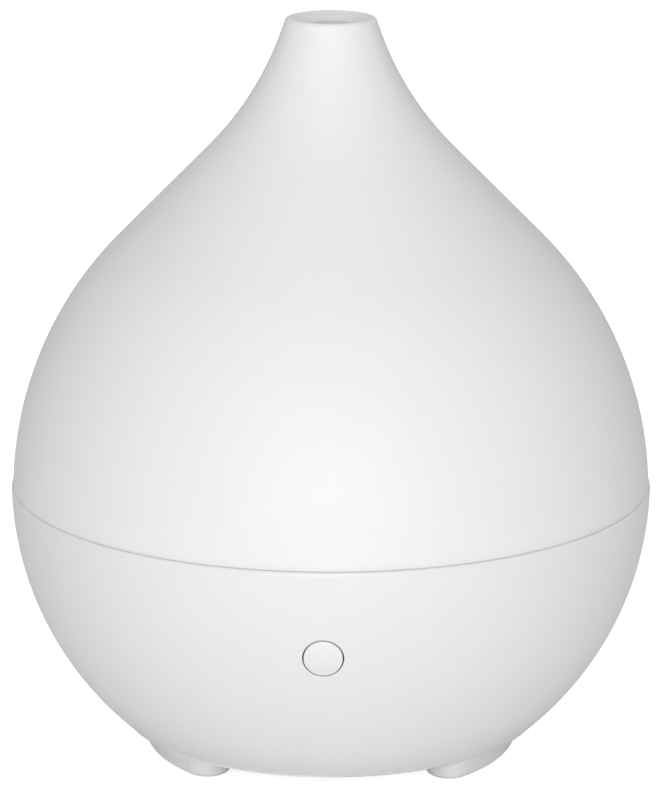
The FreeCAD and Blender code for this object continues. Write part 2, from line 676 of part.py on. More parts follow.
def make_tank_bowl():
    sump = "recess_radius + tank_wall"
    seal_out = "seal_radius + tank_wall"
    hole = "disc_radius - seal_lip"
    bead = "level_height + level_bead"
    return turned(
        "tank_bowl",
        (hole, "sump_under"), ("seal_radius", "sump_under"), ("seal_radius", "clamp_top"),
        (seal_out, "clamp_top"), (seal_out, "sump_under"), (sump, "sump_under"),
        (sump, "floor_under"), ("tank_radius - tank_corner", "floor_under"),
        ("tank_outer", "floor_top + tank_corner", "tank_corner + tank_wall", 1),
        ("tank_outer", "gasket_top"), ("tank_edge", "gasket_top"), ("tank_edge", "tank_mouth"),
        ("tank_radius + tank_lip", "tank_mouth"),
        ("tank_radius", "tank_mouth - tank_lip", "tank_lip", 1),
        ("tank_radius", bead), ("tank_radius - level_bead", "level_height"),
        ("tank_radius", "level_height - level_bead"),
        ("tank_radius", "floor_top + tank_corner"),
        ("tank_radius - tank_corner", "floor_top", "tank_corner", -1),
        ("recess_radius", "floor_top"), ("recess_radius", "sump_under + tank_wall"),
        (hole, "sump_under + tank_wall"),
    )


def clamp_places(z):
    return [polar("clamp_screws_at", angle) + (z,) for angle in THIRDS]


def light_places(z, first):
    middle = "(light_inner + light_outer) / 2"
    return [polar(middle, first + 120 * step) + (z,) for step in range(3)]


def make_water_tank():
    lumps = [make_tank_bowl()]
    holes = []
    lumps.append(rod("air_duct", "duct_outer", "level_height - floor_under + 4 + duct_wall",
                     "duct_x", 0, "floor_under - 4"))
    holes.append(rod("air_duct_bore", "duct_radius", "tank_mouth", "duct_x", 0, "floor_under - 5"))
    for number, spot in enumerate(clamp_places("clamp_top"), 1):
        lumps.append(rod("clamp_post_%d" % number, "post_radius", "seal_height + 0.5", *spot))
        holes.append(rod("clamp_hole_%d" % number, "screw_hole", "seal_height", *spot))
    for number, spot in enumerate(light_places("floor_under - light_height", 30), 1):
        lumps.append(rod("light_post_%d" % number, "post_radius", "light_height + 0.5", *spot))
        holes.append(rod("light_hole_%d" % number, "screw_hole", "light_height", *spot))
    for number, angle in enumerate(TANK_THIRDS, 1):
        x, y = polar("tank_screws_at", angle)
        lumps.append(rod("flange_post_%d" % number, "post_radius", "gasket_thickness + 0.5", x, y,
                         "ledge_top"))
        holes.append(rod("flange_hole_%d" % number, "screw_hole", "gasket_thickness + 1.2", x, y,
                         "ledge_top"))
    return cut("water_tank", fused("tank_whole", lumps), fused("tank_holes", holes))


def make_tank_gasket():
    outer = at_height("shell_inner - tank_gap", "ledge_top")
    return ring("tank_gasket", "ledge_radius", outer, "gasket_thickness", z="ledge_top")


def make_tank_screws():
    places = [polar("tank_screws_at", angle) + ("ledge_top - lug_height",) for angle in TANK_THIRDS]
    return screw_set("tank_screws", places, "lug_height + gasket_thickness + 0.9")


def make_air_cap():
    """Cap over the duct: a socket, a closed top and a side window that faces the mist disc."""
    inner, outer = "riser_radius", "riser_radius + hood_wall"
    half, top = "air_cap_height / 2", "air_cap_height / 2 + cap_dome"
    roof = top + " - hood_wall"
    body = turned(
        "air_cap",
        (inner, "-" + half), (outer, "-" + half), (outer, half), (outer + " - cap_dome", top,
                                                                  "cap_dome", 1),
        (0, top), (0, roof), (inner, roof), (inner, "hood_wall"), ("duct_radius", "hood_wall"),
        ("duct_radius", 0), (inner, 0),
        x="duct_x", z="level_height + duct_wall",
    )
    window = new_sketch(body, "YZ_Plane")
    add_box(window, 0, half + " / 2 + 1", "duct_radius * 1.5", "air_cap_height / 3")
    pocket(body, window, "duct_outer * 2")
    return body


# ---- mist disc -------------------------------------------------------------------------------

def make_mist_disc():
    ring("mist_disc", 0, "disc_radius", "disc_thickness", z="disc_under")
    ring("disc_ceramic", 0, "piezo_radius", "piezo_thickness", z="disc_under - piezo_thickness")
    lip, low = "disc_radius - seal_lip", "(seal_height - disc_thickness) / 2"
    high = low + " + disc_thickness"
    turned("disc_seal", (lip, 0), ("seal_radius", 0), ("seal_radius", "seal_height"),
           (lip, "seal_height"), (lip, high), ("disc_radius", high), ("disc_radius", low),
           (lip, low), z="clamp_top")
    clamp = ring("disc_clamp", lip, "clamp_radius", "clamp_thickness",
                 z="clamp_top - clamp_thickness")
    holes = new_sketch(clamp, "XY_Plane")
    add_circle(holes, "screw_hole", 0, "-clamp_screws_at")
    around(clamp, [pocket(clamp, holes)], 3)
    screw_set("clamp_screws", clamp_places("clamp_top - clamp_thickness"),
              "clamp_thickness + seal_height - 0.5")


# ---- lights ----------------------------------------------------------------------------------

def make_lights():
    board = ring("light_board", "light_inner", "light_outer", "board_thickness", z="light_under")
    holes = new_sketch(board, "XY_Plane")
    add_circle(holes, "screw_hole", *polar("(light_inner + light_outer) / 2", 30))
    around(board, [pocket(board, holes)], 3)
    screw_set("light_screws", light_places("light_under", 30), "board_thickness + light_height - 0.5")
    lights = doc.addObject("Part::Compound", "light_chips")
    lights.Links = [
        bar("light_chip_%d" % number, "light_side", "light_side", "light_height",
            x + " - light_side / 2", y + " - light_side / 2", z)
        for number, (x, y, z) in enumerate(light_places("light_under + board_thickness", 90), 1)]


# ---- air way ---------------------------------------------------------------------------------

def fan_corners(z):
    return [("fan_x + %d * fan_pitch / 2" % i, "%d * fan_pitch / 2" % j, z)
            for i in (-1, 1) for j in (-1, 1)]


def make_fan_frame():
    body = new_body("fan_frame", x="fan_x", z="fan_base")
    pad(body, add_box(new_sketch(body, "XY_Plane"), 0, 0, "fan_size", "fan_size"), "fan_depth")
    bore = new_sketch(body, "XY_Plane", "fan_floor")
    add_circle(bore, "fan_bore")
    pocket(body, bore, "fan_depth", back=True)
    vents = new_sketch(body, "XY_Plane")
    inner, outer = ("sqrt(%s ^ 2 - spoke_half ^ 2)" % name for name in ("hub_radius", "vent_radius"))
    add_outline(vents, (inner, "spoke_half"), (outer, "spoke_half"),
                ("spoke_half", outer, "vent_radius", 1), ("spoke_half", inner))
    around(body, [pocket(body, vents)], 4)
    corners = new_sketch(body, "XY_Plane")
    for i in (-1, 1):
        for j in (-1, 1):
            add_circle(corners, "screw_hole", "%d * fan_pitch / 2" % i, "%d * fan_pitch / 2" % j)
    pocket(body, corners)
    holder = new_sketch(body, "XY_Plane", "fan_floor - 0.1")
    add_circle(holder, "holder_radius")
    add_circle(holder, "bush_radius")
    pad(body, holder, "fan_depth - 3.2")
    return body


def make_fan_motor():
    ring("fan_bush", "shaft_radius + running_gap", "bush_radius", "fan_depth - 3.3",
         x="fan_x", z="fan_base + fan_floor")
    stator = ring("fan_coils", "holder_radius", "coil_radius", "coil_height",
                  x="fan_x", z="fan_base + fan_floor")
    slots = new_sketch(stator, "XY_Plane")
    add_box(slots, "coil_radius - coil_slot / 2", 0, "2 * coil_slot", "coil_slot")
    around(stator, [pocket(stator, slots)], 6)


def make_fan_rotor():
    roof = "hub_top - hub_wall"
    body = turned("fan_rotor", ("magnet_outer", "hub_rise"), ("hub_radius", "hub_rise"),
                  ("hub_radius", "hub_top"), (0, "hub_top"), (0, roof), ("magnet_outer", roof),
                  x="fan_x", z="fan_base")
    blade = new_sketch(body, "YZ_Plane", "hub_radius - blade_root")
    low, high = "hub_rise + 0.4", "hub_top - 0.4"
    add_outline(blade, ("-blade_run", low), ("blade_wall - blade_run", low), ("blade_run", high),
                ("blade_run - blade_wall", high))
    reach = "sqrt((fan_bore - blade_gap) ^ 2 - blade_run ^ 2) - hub_radius + blade_root"
    around(body, [pad(body, blade, reach)], int(size("blade_count")))
    ring("fan_magnet", "magnet_inner", "magnet_outer", "coil_height",
         x="fan_x", z="fan_base + hub_rise + 0.4")
    ring("fan_shaft", 0, "shaft_radius", "fan_depth - 3", x="fan_x", z="fan_base + fan_floor + 0.4")


def make_fan_hood():
    """Hood on the fan: it leads the air sideways and up into the tank's duct."""
    flange = bar("hood_flange", "fan_size", "fan_size", "hood_wall", "fan_x - fan_size / 2",
                 "-fan_size / 2", "fan_top")
    drum = rod("hood_drum", "hood_radius + hood_wall", "hood_height", "fan_x", 0, "fan_top")
    riser = rod("hood_riser", "riser_radius + hood_wall", "floor_under - fan_top", "duct_x", 0,
                "fan_top")
    hollow = rod("hood_hollow", "hood_radius", "hood_height - hood_wall + 1", "fan_x", 0,
                 "fan_top - 1")
    bore = rod("hood_bore", "riser_radius", "floor_under - fan_top", "duct_x", 0,
               "fan_top + hood_wall")
    holes = [rod("hood_hole_%d" % number, "screw_hole", "hood_wall + 2", *spot)
             for number, spot in enumerate(fan_corners("fan_top - 1"), 1)]
    return cut("fan_hood", fused("hood_whole", [flange, drum, riser]),
               fused("hood_spaces", [hollow, bore] + holes))


def make_fan_screws():
    flip = Rotation(Vector(1, 0, 0), 180)
    return screw_set("fan_screws", fan_corners("fan_top + hood_wall"),
                     "hood_wall + fan_depth + fan_lift - 0.5", flip)


# ---- main board ------------------------------------------------------------------------------

def board_corners(z):
    return [("board_x + %d * board_hole_x / 2" % i, "board_y + %d * board_hole_y / 2" % j, z)
            for i in (-1, 1) for j in (-1, 1)]


def make_main_board():
    body = block("main_board", "board_width", "board_length", "board_thickness",
                 x="board_x", y="board_y", z="board_under")
    holes = new_sketch(body, "XY_Plane")
    for i in (-1, 1):
        for j in (-1, 1):
            add_circle(holes, "screw_hole", "%d * board_hole_x / 2" % i,
                       "%d * board_hole_y / 2" % j)
    pocket(body, holes)
    flip = Rotation(Vector(1, 0, 0), 180)
    screw_set("board_screws", board_corners("board_top"), "board_thickness + board_lift - 0.5",
              flip)


def on_board(x, y):
    """A spot on the main board's top, from the board's centre."""
    return {"x": "board_x + (%s)" % x, "y": "board_y + (%s)" % y, "z": "board_top"}


def compound(label, parts):
    group = doc.addObject("Part::Compound", label)
    group.Links = parts
    return group


def make_board_parts():
    capacitors = [rod("capacitor_%d" % (number + 1), "capacitor_radius", "capacitor_height",
                      **on_board("capacitor_radius + 1", "-%d * (2 * capacitor_radius + 2)" % number))
                  for number in range(2)]
    compound("board_capacitors", capacitors)
    core, rim = "inductor_radius - 1.1", "inductor_height - 1"
    turned("board_inductor", (0, 0), ("inductor_radius", 0), ("inductor_radius", 1), (core, 1),
           (core, rim), ("inductor_radius", rim), ("inductor_radius", "inductor_height"),
           (0, "inductor_height"), **on_board("-2 * inductor_radius", "board_hole_y / 4"))
    block("control_chip", "chip_width", "chip_length", "chip_height", **on_board("chip_at", "chip_at"))
    aside, behind = "-chip_length + chip_at + 1", "-transistor_width / 2 - 0.5"
    block("power_transistor", "transistor_depth", "transistor_width", "transistor_height",
          **on_board(aside, behind))
    sink_at = aside + " - (transistor_depth + sink_depth) / 2"
    sink = block("heat_sink", "sink_depth", "sink_width", "sink_height",
                 **on_board(sink_at, behind))
    fins = new_sketch(sink, "XZ_Plane")
    for middle in ("-sink_depth / 4", "sink_depth / 6"):
        add_box(fins, middle, "sink_height / 2 + 1.5", "sink_depth / 4", "sink_height - 2")
    pocket(sink, fins)
    plugs = (("board_width / 2 - plug_width - 1", -3), ("-board_width / 6", "1 - board_length / 2"),
             ("plug_width / 2", "1 - board_length / 2"))
    compound("board_plugs", [bar("board_plug_%d" % number, "plug_width", "plug_depth",
                                 "plug_height", **on_board(x, y))
                             for number, (x, y) in enumerate(plugs, 1)])


# ---- button ----------------------------------------------------------------------------------

def make_button_cap():
    """A rod with a collar at its back, inside a ball whose face follows the bowl's."""
    collar = "button_radius + collar_reach"
    length = "button_face + button_proud - collar_back + 2"
    stem = turned("button_stem", (0, 0), (collar, 0), (collar, "collar_thickness"),
                  ("button_radius", "collar_thickness"), ("button_radius", length), (0, length),
                  y="-collar_back", z="button_height", rotation=FORWARD)
    dome = doc.addObject("Part::Sphere", "button_ball")
    bind(dome, Radius="button_dome")
    place(dome, y="-dome_share * button_face", z="seam_height - dome_share * button_drop")
    return common("button_cap", stem, dome)


def make_switch():
    body = new_body("switch_body", y="-panel_front", z="button_height", rotation=FORWARD)
    pad(body, add_box(new_sketch(body, "XY_Plane"), 0, 0, "switch_size", "switch_size"),
        "switch_depth")
    bore = new_sketch(body, "XY_Plane", 0.6)
    add_circle(bore, "plunger_radius + button_gap / 2")
    pocket(body, bore, "switch_depth", back=True)
    length = "plunger_reach + switch_depth - 0.6 - button_travel - 0.4"
    ring("switch_plunger", 0, "plunger_radius", length,
         y="-(collar_back - (%s))" % length, z="button_height", rotation=FORWARD)


def make_button_board():
    body = new_body("button_board", y="-panel_front", z="button_height", rotation=FORWARD)
    pad(body, add_box(new_sketch(body, "XY_Plane"), 0, 0, "panel_width", "panel_height"),
        "board_thickness", back=True)
    holes = new_sketch(body, "XY_Plane")
    for side in (-1, 1):
        add_circle(holes, "screw_hole", "%d * panel_hole / 2" % side, 0)
    pocket(body, holes)
    places = [("%d * panel_hole / 2" % side, "-panel_front + board_thickness", "button_height")
              for side in (-1, 1)]
    screw_set("button_screws", places, "board_thickness + 4", FORWARD)


# ---- power inlet -----------------------------------------------------------------------------

def make_inlet():
    side = "jack_side"
    body = new_body("power_inlet", y="jack_inside", z="jack_height", rotation=BACKWARD)
    pad(body, add_box(new_sketch(body, "XY_Plane"), 0, 0, side, side), "jack_length", back=True)
    nose = new_sketch(body, "XY_Plane")
    add_circle(nose, "jack_thread")
    pad(body, nose, "jack_panel + jack_nut")
    bore = new_sketch(body, "XY_Plane", "jack_panel + jack_nut")
    add_circle(bore, "jack_bore")
    pocket(body, bore, "jack_panel + jack_nut + jack_length - 3")
    reach = "jack_panel + jack_length - 4"
    ring("inlet_pin", 0, "jack_pin", reach, y="jack_inside + 3 - jack_length",
         z="jack_height", rotation=BACKWARD)
    nut = new_body("inlet_nut", y="jack_face", z="jack_height", rotation=BACKWARD)
    flats = new_sketch(nut, "XY_Plane")
    corners = [polar("(nut_flats / 2 / cos(30))", 60 * step) for step in range(6)]
    for step in (0, 3):  # these two lie on the sketch's axis
        corners[step] = (corners[step][0], 0)
    add_outline(flats, *corners)
    add_circle(flats, "jack_thread + screw_gap / 2")
    pad(nut, flats, "jack_nut")


# ---- bottom ----------------------------------------------------------------------------------

def pad_outline(sketch):
    """Arc-shaped pad under the first foot, drawn about the Z axis."""
    outer, inner = "(foot_middle + pad_half)", "(foot_middle - pad_half)"
    start = polar(outer, "foot_from")
    return add_outline(sketch, start, polar(outer, "foot_to") + (outer, 1),
                       polar(inner, "foot_to") + ("pad_end", 1),
                       polar(inner, "foot_from") + (inner, -1), start + ("pad_end", 1))


def upright_sketch(body, angle, out=0):
    """A sketch in the upright plane through the axis at an angle, its origin moved outwards."""
    sketch = new_sketch(body)
    sketch.AttachmentOffset = Placement(Vector(), Rotation(Vector(0, 1, 0), size(angle)))
    x, y = polar(out, angle)
    return bind(sketch, AttachmentOffset__Rotation__Angle="%s * 1 deg" % angle,
                AttachmentOffset__Base__x=x, AttachmentOffset__Base__z="-(%s)" % y)


def make_feet(body):
    """Each foot's section is turned about the bowl's axis, and half of it about either end."""
    section = add_outline(
        upright_sketch(body, "foot_from"), ("foot_middle - foot_half", 0),
        ("foot_middle - toe_side", "toe_rise"),
        ("foot_middle - toe_flat", "-foot_drop", "foot_round", 1),
        ("foot_middle + toe_flat", "-foot_drop"),
        ("foot_middle + toe_side", "toe_rise", "foot_round", 1),
        ("foot_middle + foot_half", 0))
    parts = [bind(revolve(body, section), Angle="foot_span")]
    for angle, back in (("foot_from", True), ("foot_to", False)):
        half = add_outline(upright_sketch(body, angle, "foot_middle"), (0, 0), (0, "-foot_drop"),
                           ("toe_flat", "-foot_drop"), ("toe_side", "toe_rise", "foot_round", 1),
                           ("foot_half", 0))
        end = revolve(body, half)
        end.Angle = 180
        end.Reversed = back
        parts.append(end)
    seat = pad_outline(new_sketch(body, "XY_Plane", "-foot_drop - 1"))
    bind(around(body, parts, 3), Angle="feet_turn")
    seats = [pocket(body, seat, "pad_depth - pad_proud + 1", back=True)]
    bind(around(body, seats, 3), Angle="feet_turn")


def make_bottom_plate():
    body = new_body("bottom_plate", z="plate_base")
    disc = add_circle(new_sketch(body, "XY_Plane"), "opening_radius - plate_gap")
    pad(body, disc, "plate_thickness")
    make_feet(body)
    for x, y in [spot[:2] for spot in fan_corners(0)]:
        post = new_sketch(body, "XY_Plane", "plate_thickness - 0.5")
        pad(body, add_circle(post, "post_radius", x, y), "fan_lift + 0.5")
    for x, y in [spot[:2] for spot in board_corners(0)]:
        post = new_sketch(body, "XY_Plane", "plate_thickness - 0.5")
        pad(body, add_circle(post, "post_radius", x, y), "board_lift + 0.5")
    for x, y in [spot[:2] for spot in fan_corners(0) + board_corners(0)]:
        hole = new_sketch(body, "XY_Plane", "plate_thickness - 0.4")
        pocket(body, add_circle(hole, "screw_hole", x, y), "fan_lift + board_lift", back=True)
    grille = new_sketch(body, "XY_Plane")
    for slot in range(-3, 4):
        width = "2 * sqrt(fan_bore ^ 2 - (%d * grille_pitch) ^ 2) - 2" % slot
        add_box(grille, "fan_x", "%d * grille_pitch" % slot, width, "grille_slot")
    pocket(body, grille)
    screws, heads = new_sketch(body, "XY_Plane"), new_sketch(body, "XY_Plane")
    for angle in THIRDS:
        add_circle(screws, "screw_hole", *polar("base_screws_at", angle))
        add_circle(heads, "head_radius + head_gap", *polar("base_screws_at", angle))
    pocket(body, screws)
    pocket(body, heads, "head_sink", back=True)
    return body


def make_foot_pads():
    pads = []
    for number in range(3):
        body = new_body("foot_pad_%d" % (number + 1), rotation=Rotation(Vector(0, 0, 1), 120 * number))
        bind(body, Placement__Rotation__Angle="%d * feet_turn / 2 * 1 deg" % number)
        pad(body, pad_outline(new_sketch(body, "XY_Plane")), "pad_depth")
        pads.append(body)
    return compound("foot_pads", pads)


def make_bottom_screws():
    places = [polar("base_screws_at", angle) + ("plate_base + head_sink",) for angle in THIRDS]
    return screw_set("bottom_screws", places,
                     "plate_thickness - head_sink + flange_thickness + base_boss - 1")


NODES = (
    "top_cover", "mist_tube", "base_shell", "water_tank", "tank_gasket", "tank_screws", "air_cap",
    "mist_disc", "disc_ceramic", "disc_seal", "disc_clamp", "clamp_screws", "light_board",
    "light_screws", "light_chips", "fan_frame", "fan_bush", "fan_coils", "fan_rotor",
    "fan_magnet", "fan_shaft", "fan_hood", "fan_screws", "main_board", "board_screws",
    "board_capacitors", "board_inductor", "control_chip", "power_transistor", "heat_sink",
    "board_plugs", "button_cap", "switch_body", "switch_plunger", "button_board",
    "button_screws", "power_inlet", "inlet_pin", "inlet_nut", "bottom_plate", "foot_pads",
    "bottom_screws",
)


def make_everything():
    make_top_cover()
    make_mist_tube()
    make_base_shell()
    make_water_tank()
    make_tank_gasket()
    make_tank_screws()
    make_air_cap()
    make_mist_disc()
    make_lights()
    make_fan_frame()
    make_fan_motor()
    make_fan_rotor()
    make_fan_hood()
    make_fan_screws()
    make_main_board()
    make_board_parts()
    make_button_cap()
    make_switch()
    make_button_board()
    make_inlet()
    make_bottom_plate()
    make_foot_pads()
    make_bottom_screws()


def check_document():
    for thing in doc.Objects:
        if "Invalid" in thing.State or "Error" in thing.State:
            raise ValueError("%s is %s" % (thing.Name, thing.State))
    for label in NODES:
        shape = doc.getObjectsByLabel(label)[0].Shape
        if shape.isNull() or not shape.isValid() or shape.Volume <= 0:
            raise ValueError(label + " has no valid solid")


def write_parts():
    os.makedirs("parts", exist_ok=True)
    for label in NODES:
        doc.getObjectsByLabel(label)[0].Shape.exportStep("parts/%s.step" % label)


fill_sheets()
make_everything()
doc.recompute()
check_document()
write_parts()
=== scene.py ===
"""Finishes, table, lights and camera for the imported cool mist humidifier, in metres."""

import json
from math import cos, pi, radians, sin

import bmesh
import bpy
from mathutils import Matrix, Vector


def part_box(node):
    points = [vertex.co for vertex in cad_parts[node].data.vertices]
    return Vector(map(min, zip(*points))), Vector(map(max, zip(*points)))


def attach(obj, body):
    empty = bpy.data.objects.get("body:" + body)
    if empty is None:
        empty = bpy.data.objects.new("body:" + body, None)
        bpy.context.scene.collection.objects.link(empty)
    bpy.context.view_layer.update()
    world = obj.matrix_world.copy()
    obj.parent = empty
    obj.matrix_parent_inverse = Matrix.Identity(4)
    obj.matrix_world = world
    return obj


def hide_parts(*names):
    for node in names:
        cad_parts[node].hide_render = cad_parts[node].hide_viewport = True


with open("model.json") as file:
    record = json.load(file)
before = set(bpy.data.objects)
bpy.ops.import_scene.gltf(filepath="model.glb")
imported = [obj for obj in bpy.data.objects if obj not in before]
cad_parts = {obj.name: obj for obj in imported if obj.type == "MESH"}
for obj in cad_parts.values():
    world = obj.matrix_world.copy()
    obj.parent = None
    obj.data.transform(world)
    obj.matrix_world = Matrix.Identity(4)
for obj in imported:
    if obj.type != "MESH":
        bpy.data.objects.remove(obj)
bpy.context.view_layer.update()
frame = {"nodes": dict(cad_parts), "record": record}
nodes = frame["nodes"]

MM = 0.001
SEAM_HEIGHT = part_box("base_shell")[1].z
BALL_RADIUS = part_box("base_shell")[1].x
BODY_OF = {node: body for body, names in frame["record"]["behaviour"]["bodies"].items()
           for node in names}
SLOT_OF = {row["node"]: row["material_slot"] for row in frame["record"]["subparts"]}
WHITE = (1, 1, 1, 1)

# Blender's wave texture repeats every 2 pi / 20 of a unit.
WAVE_REPEAT = 2 * pi / 20

# Broken edges of the small parts
WELD = 1e-6
FLAT_WITHIN = radians(0.5)
CORNER_FROM = radians(40)
SMOOTH_BELOW = radians(35)
BEVEL_STEPS = 3

# Studio, counted in bowl radii where it is a length
TABLE_RADIUS = 80 * BALL_RADIUS
TABLE_GLOW = 0.76
LAMP_SIZE = 13 * BALL_RADIUS
LAMP_REACH = 21 * BALL_RADIUS
WORLD_STRENGTH = 0.46
CAMERA_REACH = 12 * BALL_RADIUS
CAMERA_RISE = 3.476 * BALL_RADIUS
CAMERA_BEARING = radians(1.35)
CAMERA_DIP = radians(15.045)
SENSOR_WIDTH = 36
FOCAL_LENGTH = 179
SIDE_SHIFT = 0.0051


# ---- materials ---------------------------------------------------------------------------

class Finish:
    """One procedural material: a principled shader with layers of fine detail on it."""

    def __init__(self, name, colour, roughness, **values):
        self.name = name
        self.material = bpy.data.materials.new(name)
        self.material.use_nodes = True
        self.tree = self.material.node_tree
        self.shader = self.tree.nodes["Principled BSDF"]
        self.place = self.tree.nodes.new("ShaderNodeTexCoord").outputs["Object"]
        self.colour = colour
        self.normal = None
        self.set("Base Color", (*colour, 1.0))
        self.set("Roughness", roughness)
        for key, value in values.items():
            self.set(key.replace("_", " "), value)

    def set(self, socket, value):
        inputs = {found.name.lower(): found for found in self.shader.inputs}
        inputs[socket.lower()].default_value = value

    def node(self, kind, **inputs):
        made = self.tree.nodes.new("ShaderNode" + kind)
        for name, value in inputs.items():
            made.inputs[name.replace("_", " ")].default_value = value
        return made

    def link(self, start, end):
        self.tree.links.new(start, end)

    def scaled(self, size, stretch):
        """The object's own coordinates, so that one unit is this size."""
        made = self.node("Mapping", Scale=[1 / (size * along) for along in stretch])
        self.link(self.place, made.inputs["Vector"])
        return made.outputs["Vector"]

    def noise(self, size, stretch=(1, 1, 1), detail=2.0):
        made = self.node("TexNoise", Scale=1.0, Detail=detail)
        self.link(self.scaled(size, stretch), made.inputs["Vector"])
        return made.outputs["Fac"]

    def bands(self, size, rings=False):
        """Even ridges along Z, or rings around it, about a tenth of this size apart."""
        made = self.node("TexWave", Scale=1.0)
        made.wave_type = "RINGS" if rings else "BANDS"
        setattr(made, "rings_direction" if rings else "bands_direction", "Z")
        self.link(self.scaled(size * WAVE_REPEAT, (1, 1, 1)), made.inputs["Vector"])
        return made.outputs["Fac"]

    def cells(self, size):
        """How far a point is from the edge of its cell."""
        made = self.node("TexVoronoi", Scale=1.0, Randomness=0.8)
        made.feature = "DISTANCE_TO_EDGE"
        self.link(self.scaled(size, (1, 1, 3)), made.inputs["Vector"])
        return made.outputs["Distance"]

    def blend(self, source, start, end, first, last):
        """Colours that go from first to last while the source goes from start to end."""
        made = self.node("ValToRGB")
        for spot, place, colour in zip(made.color_ramp.elements, (start, end), (first, last)):
            spot.position = place
            spot.color = (*colour, 1.0)
        self.link(source, made.inputs["Fac"])
        self.link(made.outputs["Color"], self.shader.inputs["Base Color"])
        return self

    def mottle(self, size, share, **kind):
        """The base colour drifts down to this share of itself in soft clouds."""
        darker = [channel * share for channel in self.colour]
        return self.blend(self.noise(size, **kind), 0.3, 0.7, darker, self.colour)

    def sheen(self, size, least, most, **kind):
        """The roughness drifts between two values."""
        spread = self.node("MapRange", From_Min=0.3, From_Max=0.7, To_Min=least, To_Max=most)
        self.link(self.noise(size, **kind), spread.inputs["Value"])
        self.link(spread.outputs["Result"], self.shader.inputs["Roughness"])
        return self

    def relief(self, source, depth, strength=1.0):
        """Bumps of this depth from a pattern, on top of the bumps already there."""
        made = self.node("Bump", Strength=strength, Distance=depth)
        self.link(source, made.inputs["Height"])
        if self.normal:
            self.link(self.normal, made.inputs["Normal"])
        self.normal = made.outputs["Normal"]
        self.link(self.normal, self.shader.inputs["Normal"])
        return self


def frosted_cover():
    """Fine blasted grain over a faint waviness, and light that wanders inside the wall."""
    made = Finish("frosted_cover", (0.89, 0.89, 0.888), 0.5, subsurface_weight=0.4,
                  subsurface_radius=(1, 1, 1), subsurface_scale=2 * MM, ior=1.49)
    made.mottle(14 * MM, 0.992).sheen(3 * MM, 0.46, 0.54)
    made.relief(made.noise(6 * MM), 0.02 * MM, 0.3)
    return made.relief(made.noise(0.3 * MM), 0.008 * MM, 0.5)


def glossy_shell(name, colour, roughness):
    """Polished moulded plastic with a trace of orange peel."""
    made = Finish(name, colour, roughness, ior=1.5)
    made.mottle(18 * MM, 0.992).sheen(5 * MM, roughness - 0.03, roughness + 0.04)
    made.relief(made.noise(4 * MM), 0.02 * MM, 0.25)
    return made.relief(made.noise(0.6 * MM), 0.004 * MM, 0.4)


def moulded(name, colour, roughness, grain=0.4 * MM, **values):
    made = Finish(name, colour, roughness, **values)
    made.mottle(7 * MM, 0.965).sheen(2 * MM, roughness * 0.88, roughness * 1.12)
    return made.relief(made.noise(grain), grain / 20, 0.6)


def tank_plastic():
    """Milky polypropylene with flow lines that rise from the gate."""
    made = Finish("tank_plastic", (0.84, 0.86, 0.87), 0.3, subsurface_weight=0.3,
                  subsurface_radius=(1, 1, 1), subsurface_scale=1.5 * MM, ior=1.49)
    made.mottle(16 * MM, 0.985, stretch=(1, 1, 5)).sheen(6 * MM, 0.26, 0.32)
    return made.relief(made.noise(2.5 * MM, stretch=(1, 1, 6)), 0.008 * MM, 0.2)


def rubber(name, colour, roughness):
    made = Finish(name, colour, roughness, sheen_weight=0.15, sheen_roughness=0.5)
    made.mottle(1.5 * MM, 0.9).sheen(0.8 * MM, roughness - 0.06, roughness + 0.08)
    return made.relief(made.noise(0.25 * MM, detail=4.0), 0.03 * MM, 0.7)


def metal(name, colour, roughness, along=(1, 1, 1)):
    """Bright metal with fine tool marks that run along one direction."""
    made = Finish(name, colour, roughness, metallic=1.0)
    made.mottle(2 * MM, 0.9, stretch=along).sheen(0.7 * MM, roughness * 0.75, roughness * 1.3,
                                                  stretch=along)
    return made.relief(made.noise(0.12 * MM, stretch=along), 0.004 * MM, 0.6)


def stamped_disc():
    made = Finish("disc_steel", (0.68, 0.68, 0.69), 0.22, metallic=1.0)
    made.mottle(2 * MM, 0.92).sheen(1 * MM, 0.16, 0.3)
    return made.relief(made.bands(1.6 * MM, rings=True), 0.02 * MM, 0.5)


def ceramic():
    made = Finish("ceramic", (0.76, 0.73, 0.64), 0.45)
    made.mottle(1.2 * MM, 0.88).sheen(0.5 * MM, 0.35, 0.6)
    return made.relief(made.noise(0.15 * MM, detail=4.0), 0.012 * MM, 0.7)


def circuit_board():
    """Green mask over copper tracks."""
    made = Finish("circuit_board", (0.03, 0.17, 0.07), 0.35, coat_weight=0.3)
    tracks = made.cells(3 * MM)
    made.blend(tracks, 0.06, 0.1, (0.06, 0.27, 0.1), made.colour).sheen(2 * MM, 0.28, 0.42)
    return made.relief(tracks, 0.05 * MM, 0.3)


def light_chip():
    """White package whose face has a round phosphor window."""
    made = Finish("light_chip", (0.86, 0.85, 0.8), 0.35)
    made.blend(made.noise(0.8 * MM), 0.35, 0.65, (0.84, 0.72, 0.28), made.colour)
    made.sheen(1 * MM, 0.25, 0.4)
    return made.relief(made.noise(0.3 * MM), 0.01 * MM, 0.5)


def copper_coil():
    """Lacquered wire, wound in even turns, with painted shade darkening the grooves between the
    turns.
    """
    made = Finish("copper_coil", (0.7, 0.32, 0.16), 0.3, metallic=1.0)
    turns_and_groove_shade = made.bands(0.3 * MM)
    # painted shade: the colour falls to a deep brown in the grooves between the turns, where the
    # bumps sink
    made.blend(turns_and_groove_shade, 0.2, 0.8, (0.32, 0.12, 0.05), made.colour).sheen(1 * MM, 0.24, 0.4)
    return made.relief(turns_and_groove_shade, 0.08 * MM, 0.8)


